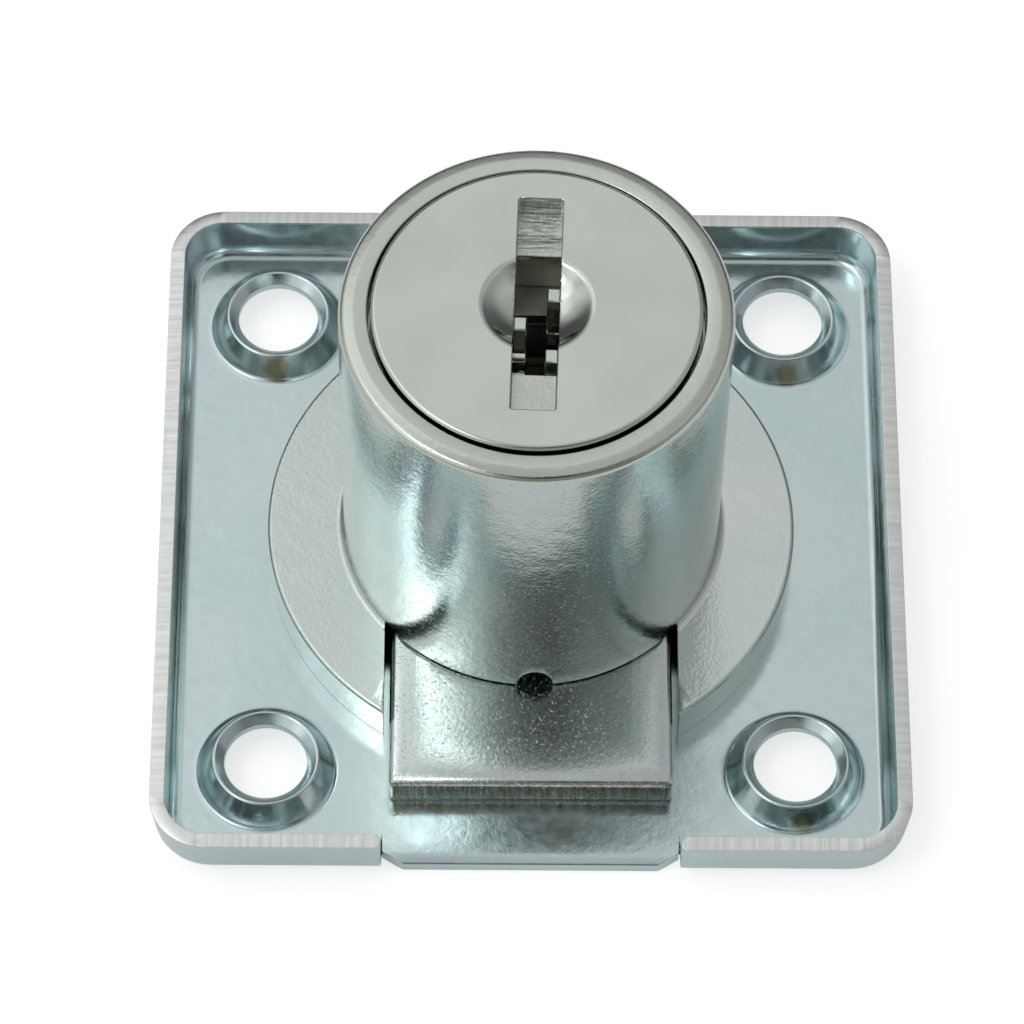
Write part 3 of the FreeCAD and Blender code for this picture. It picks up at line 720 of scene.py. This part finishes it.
def zinc_plated_sheet():
    finish = new_metal("zinc_plated_sheet_finish")
    at = places(finish)
    clouds = grain(finish, at, size=9.0)
    peel = grain(finish, at, size=0.9)
    fine = grain(finish, at, size=0.12, roughness=0.6)
    colour = tint(finish, clouds, [(0.3, (0.58, 0.70, 0.71)), (0.7, (0.645, 0.75, 0.75))])
    rough = spread(finish, peel, 0.3, 0.7, 0.13, 0.24)
    normal = relief(finish, peel, 0.012)
    # The way round the rim is y on the left and right sides, and x on the other two.
    x, y = along(finish, "X"), along(finish, "Y")
    on_a_side = math_node(finish, "GREATER_THAN", math_node(finish, "ABSOLUTE", x),
                          math_node(finish, "ABSOLUTE", y))
    way_round = math_node(finish, "ADD", x, math_node(finish, "MULTIPLY", on_a_side,
                                                      math_node(finish, "SUBTRACT", y, x)))
    torn = node(finish, "ShaderNodeTexNoise", {"W": way_round, "Scale": TICKS_PER_MM, "Detail": 3.0,
                                               "Roughness": 0.6}, noise_dimensions="1D").outputs["Fac"]
    sheared = spread(finish, along(finish, "Z"), RIM_TOP - 0.10, RIM_TOP - 0.02)
    pale = tint(finish, torn, [(0.4, (0.80, 0.84, 0.81)), (0.6, (0.91, 0.94, 0.92))])
    colour = mix_colour(finish, sheared, colour, pale)
    rough = math_node(finish, "ADD", rough, math_node(finish, "MULTIPLY", sheared, 0.16))
    normal = relief(finish, math_node(finish, "MULTIPLY", torn, sheared), 0.018, normal)
    for x, y, size in STAINS:
        gap = node(finish, "ShaderNodeVectorMath", {0: at, 1: (x, y, STAIN_Z)}, operation="DISTANCE")
        ragged = math_node(finish, "ADD", gap.outputs["Value"], math_node(finish, "MULTIPLY", peel, 0.8))
        stained = spread(finish, ragged, size + 0.75, size + 0.35, 0.0, 0.75)
        colour = mix_colour(finish, stained, colour, STAIN_COLOUR)
    near_tongue = spread(finish, along(finish, "Y"), -13.0, -17.0)
    drawn = math_node(finish, "MULTIPLY", grain(finish, at, size=0.3, roughness=0.6), near_tongue)
    normal = relief(finish, drawn, 0.008, normal)
    return wear(finish, Base_Color=colour, Roughness=rough, Normal=relief(finish, fine, 0.0018, normal))


sheet_finish = zinc_plated_sheet()

# %% [markdown]
# ### Cast zinc
# The casting keeps the fine sand of its mould and a slow wave in its walls. Its lip was turned on a lathe and
# polished, which leaves it smoother and a little yellower. Here and there on the barrel a crystal of the
# plating stands proud and sparkles: only the highest peaks of a fine noise are kept for them.

# %% Cast zinc
def cast_zinc():
    finish = new_metal("cast_zinc_finish")
    at = places(finish)
    height = along(finish, "Z")
    clouds = grain(finish, at, size=6.0)
    sand = grain(finish, at, size=0.22, roughness=0.55)
    waves = grain(finish, at, size=1.1, detail=2.0)
    colour = tint(finish, clouds, [(0.3, (0.59, 0.68, 0.67)), (0.7, (0.665, 0.72, 0.68))])
    rough = spread(finish, sand, 0.3, 0.7, 0.10, 0.20)
    polished = spread(finish, height, LIP_Z - 0.8, LIP_Z - 0.3)
    colour = mix_colour(finish, polished, colour, (0.62, 0.665, 0.605, 1))
    normal = relief(finish, waves, 0.020)
    cast = math_node(finish, "SUBTRACT", 1.0, math_node(finish, "MULTIPLY", polished, 0.6))
    normal = relief(finish, math_node(finish, "MULTIPLY", sand, cast), 0.014, normal)
    crystals = spread(finish, grain(finish, at, size=0.14, detail=2.0), 0.66, 0.74)
    barrel = math_node(finish, "SUBTRACT", spread(finish, height, 3.5, 4.0), polished)
    normal = relief(finish, math_node(finish, "MULTIPLY", crystals, barrel), 0.014, normal)
    return wear(finish, Base_Color=colour, Roughness=rough, Normal=normal)


housing_finish = cast_zinc()

# %% [markdown]
# ### Nickel on the plug
# Nickel is warmer than zinc, and the plug's face is polished satin. Polishing doesn't reach into the recess,
# so its floor keeps the grain of the mould, and the far half of that floor is full of steps that run across
# it. The dish is pressed with a ball, and is the brightest place on the lock. Each of these is found by its
# height in the plug, so one material does for all of them and nothing has to be painted on faces.

# %% Nickel on the plug
def nickel():
    finish = new_metal("nickel_finish")
    at = places(finish)
    height = along(finish, "Z")
    clouds = grain(finish, at, size=5.0, detail=2.0)
    satin = grain(finish, at, size=0.12, roughness=0.6)
    colour = tint(finish, clouds, [(0.3, (0.62, 0.67, 0.615)), (0.7, (0.68, 0.73, 0.665))])
    rough = spread(finish, satin, 0.3, 0.7, 0.12, 0.20)
    # The recess's floor
    unpolished = math_node(finish, "MULTIPLY", spread(finish, height, RECESS_Z + 0.20, RECESS_Z + 0.06),
                           spread(finish, height, RECESS_Z - 0.10, RECESS_Z - 0.04))
    rough = math_node(finish, "ADD", rough, math_node(finish, "MULTIPLY", unpolished, 0.14))
    mould = grain(finish, at, size=0.2, roughness=0.6)
    normal = relief(finish, math_node(finish, "MULTIPLY", mould, unpolished), 0.03)
    # Its far half
    stepped = math_node(finish, "MULTIPLY", unpolished, spread(finish, along(finish, "Y"), 3.2, 4.6))
    steps = grain(finish, places(finish, (0.12, 1, 0.3)), size=0.8, detail=4.0, roughness=0.6)
    normal = relief(finish, math_node(finish, "MULTIPLY", steps, stepped), 0.45, normal)
    # The dish
    dish = math_node(finish, "MULTIPLY", spread(finish, height, FACE_Z - 0.04, FACE_Z - 0.13),
                     spread(finish, height, RECESS_Z + 0.10, RECESS_Z + 0.30))
    rough = math_node(finish, "SUBTRACT", rough, math_node(finish, "MULTIPLY", dish, 0.08))
    return wear(finish, Base_Color=colour, Roughness=rough, Normal=relief(finish, satin, 0.0012, normal))


plug_finish = nickel()

# %% [markdown]
# ### Plated bolt, brass wafers and spring steel
# The bolt is plated like the plate but has a coarser peel. Its front was cut off with a shear, which leaves
# upright scores with a little rust-yellow in them: the noise is stretched along Z, so its blobs become
# lines. The wafers are brass gone brown with use, and the springs and the clip are bare spring steel. They
# are hardly seen, so one or two patterns each are enough.

# %% Plated bolt
def plated_bolt():
    finish = new_metal("plated_bolt_finish")
    at = places(finish)
    clouds = grain(finish, at, size=4.0)
    peel = grain(finish, at, size=0.25, roughness=0.6)
    colour = tint(finish, clouds, [(0.3, (0.60, 0.68, 0.67)), (0.7, (0.66, 0.73, 0.70))])
    rough = spread(finish, peel, 0.3, 0.7, 0.12, 0.22)
    front = spread(finish, along(finish, "Y"), BOLT_FRONT + 0.25, BOLT_FRONT + 0.08)
    scores = grain(finish, places(finish, (1, 1, 0.1)), size=0.16, roughness=0.6)
    stained = tint(finish, scores, [(0.38, (0.30, 0.27, 0.19)), (0.62, (0.70, 0.69, 0.62))])
    colour = mix_colour(finish, math_node(finish, "MULTIPLY", front, 0.7), colour, stained)
    normal = relief(finish, math_node(finish, "MULTIPLY", scores, front), 0.03)
    crystals = spread(finish, grain(finish, at, size=0.14, detail=2.0), 0.64, 0.72)
    normal = relief(finish, crystals, 0.012, normal)
    return wear(finish, Base_Color=colour, Roughness=rough, Normal=relief(finish, peel, 0.012, normal))


bolt_finish = plated_bolt()

# %% Brass wafers and spring steel
def wafer_brass():
    finish = new_metal("wafer_brass_finish")
    dirt = grain(finish, places(finish), size=1.2)
    lines = grain(finish, places(finish, (1, 1, 0.2)), size=0.15)
    colour = tint(finish, dirt, [(0.35, (0.24, 0.225, 0.20)), (0.65, (0.42, 0.40, 0.35))])
    return wear(finish, Base_Color=colour, Roughness=spread(finish, dirt, 0.3, 0.7, 0.35, 0.6),
                Normal=relief(finish, lines, 0.004))


def spring_steel():
    finish = new_metal("spring_steel_finish")
    drawn = grain(finish, places(finish), size=0.3)
    colour = tint(finish, drawn, [(0.35, (0.33, 0.34, 0.35)), (0.65, (0.46, 0.46, 0.46))])
    return wear(finish, Base_Color=colour, Roughness=spread(finish, drawn, 0.3, 0.7, 0.22, 0.4),
                Normal=relief(finish, drawn, 0.003))


brass_finish, spring_finish = wafer_brass(), spring_steel()
print("finishes", [m.name for m in bpy.data.materials if m.name.endswith("_finish")])

# %% [markdown]
# ## Put the pieces in their places
# Each new piece rides on the body that its node belongs to, stands for that node, and names the slot that
# a buyer would repaint. The wafers and the clip are hardly seen, so they keep their own solids and only get
# a better finish.

# %% Dress, ride and replace
def dress(piece, finish, body, node_name):
    piece.data.materials.clear()
    piece.data.materials.append(finish)
    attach(piece, body)
    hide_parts(node_name)


dress(plate, sheet_finish, "case", "mounting_plate")
dress(housing, housing_finish, "case", "lock_housing")
dress(plug, plug_finish, "core", "plug")
dress(bolt, bolt_finish, "bolt_body", "bolt")
for number, spring in enumerate(springs, 1):
    dress(spring, spring_finish, "core", f"wafer_spring_{number}")
kept = {f"wafer_{number}": brass_finish for number in range(1, len(WAFERS) + 1)}
kept["retaining_clip"] = spring_finish
for name, finish in kept.items():
    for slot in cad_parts[name].material_slots:
        slot.material = finish
print("new pieces", 4 + len(springs), "kept nodes", len(kept))

# %% [markdown]
# ## The studio
# The lock lies on a white floor. Metal shows what surrounds it, so the surroundings are drawn as a soft
# studio: a pale ceiling behind the lock, a bright window at the left, a dimmer right, and a darker side
# where the camera stands. The lens is long, as for a catalogue, so the plate's sides stay nearly parallel.
# The camera's place was found by fitting a 40 mm plate to the picture. Its small roll comes from that too.

# %% Camera
CAMERA_AT, AIM_AT, ROLL = (-3.635, -150.803, 253.201), (-0.994, 2.56, 0.0), 1.249

lens = bpy.data.cameras.new("camera")
lens.lens, lens.sensor_width = 190.16, 36.0
camera = bpy.data.objects.new("camera", lens)
bpy.context.scene.collection.objects.link(camera)
camera.location = Vector(CAMERA_AT) * MM
aim = Vector(AIM_AT) * MM
look = (aim - camera.location).to_track_quat("-Z", "Y") @ Quaternion((0, 0, 1), math.radians(ROLL))
camera.rotation_euler = look.to_euler()
bpy.context.scene.camera = camera
print("camera", CAMERA_AT, "looks at", AIM_AT)

# %% [markdown]
# A lit white floor would need a lamp that also shows in the metal. So the floor glows by itself, bright for
# the camera and dim in the mirrors, and is plain paper besides, so that the lock's shadow falls on it.

# %% Floor
SEEN, MIRRORED, PAPER = 0.62, 0.22, 0.8

only(None)
bpy.ops.mesh.primitive_plane_add(size=3.0, location=(0, 0, -0.02 * MM))
floor = bpy.context.object
floor.name = "studio_floor"
white = bpy.data.materials.new("white_floor")
white.use_nodes = True
white.node_tree.nodes.clear()
ray = node(white, "ShaderNodeLightPath")
seen = math_node(white, "MULTIPLY", ray.outputs["Is Camera Ray"], SEEN)
for kind in ("Is Glossy Ray", "Is Transmission Ray"):
    seen = math_node(white, "ADD", seen, math_node(white, "MULTIPLY", ray.outputs[kind], MIRRORED))
glow = node(white, "ShaderNodeEmission", {"Color": (1, 1, 1, 1), "Strength": seen})
paper = node(white, "ShaderNodeBsdfDiffuse", {"Color": (PAPER, PAPER, PAPER, 1)})
both = node(white, "ShaderNodeAddShader", {0: glow.outputs[0], 1: paper.outputs[0]})
node(white, "ShaderNodeOutputMaterial", {"Surface": both.outputs[0]})
floor.data.materials.append(white)

# %% [markdown]
# Area lamps would do for the light, but each of them would show in the metal with hard edges. The world is
# made of soft lobes instead: an even dim room, a broad ceiling, and then the windows and the shaded places
# one by one. A negative lobe takes light away, as a photographer's black card does. The camera itself sees
# plain white behind the lock.

# %% World
ROOM, DARKEST = 0.20, 0.03
LAMPS = (((0, 0.25, 1), 62, 30, 0.33),        # the ceiling: direction, wide and narrow angle, strength
         ((0, 0.62, 1), 22, 3, 0.24),         # its part behind the lock
         ((-0.45, 0.5, 1), 24, 3, 0.33),
         ((-0.62, 0.05, 1), 18, 3, 0.70),     # the window at the left
         ((-0.52, -0.22, 1), 11, 2, 2.80),
         ((-0.38, -0.4, 1), 9, 2, 0.40),
         ((-1.2, -1, 1), 35, 5, 0.55),
         ((-3, -0.2, 1), 40, 5, 0.45),
         ((-1, 0.75, 1), 28, 5, 0.25),
         ((0, -0.6, 1), 20, 3, -0.26),        # the dark round the camera
         ((0.3, -0.5, 1), 20, 3, -0.18),
         ((0.52, -0.28, 1), 16, 3, -0.12),
         ((0.5, 0.45, 1), 20, 3, -0.07),      # the dimmer right
         ((3, -0.2, 1), 45, 5, 0.16),
         ((0, -4, 1), 50, 5, 0.06),
         ((0, 4, 1), 60, 20, -0.12))          # the dark room behind

world = bpy.data.worlds.new("studio")
bpy.context.scene.world = world
world.use_nodes = True
world.node_tree.nodes.clear()
direction = node(world, "ShaderNodeTexCoord").outputs["Generated"]


def lobe(towards, wide, narrow, strength):
    """Light that comes from around one direction: none past the wide angle, all inside the narrow one."""
    turned = node(world, "ShaderNodeVectorMath", {0: direction, 1: Vector(towards).normalized()},
                  operation="DOT_PRODUCT").outputs["Value"]
    return node(world, "ShaderNodeMapRange",
                {"Value": turned, "From Min": math.cos(math.radians(wide)),
                 "From Max": math.cos(math.radians(narrow)), "To Min": 0.0, "To Max": strength},
                interpolation_type="SMOOTHSTEP").outputs["Result"]


level = ROOM
for lamp in LAMPS:
    level = math_node(world, "ADD", level, lobe(*lamp))
level = math_node(world, "MAXIMUM", level, DARKEST)
ray = node(world, "ShaderNodeLightPath").outputs["Is Camera Ray"]
unseen = math_node(world, "SUBTRACT", 1.0, ray)
level = math_node(world, "ADD", math_node(world, "MULTIPLY", level, unseen), ray)
sky = node(world, "ShaderNodeBackground", {"Color": (1, 1, 1, 1), "Strength": level})
node(world, "ShaderNodeOutputWorld", {"Surface": sky.outputs[0]})
bpy.context.scene.view_settings.view_transform = "Standard"
print("lamps", len(LAMPS))
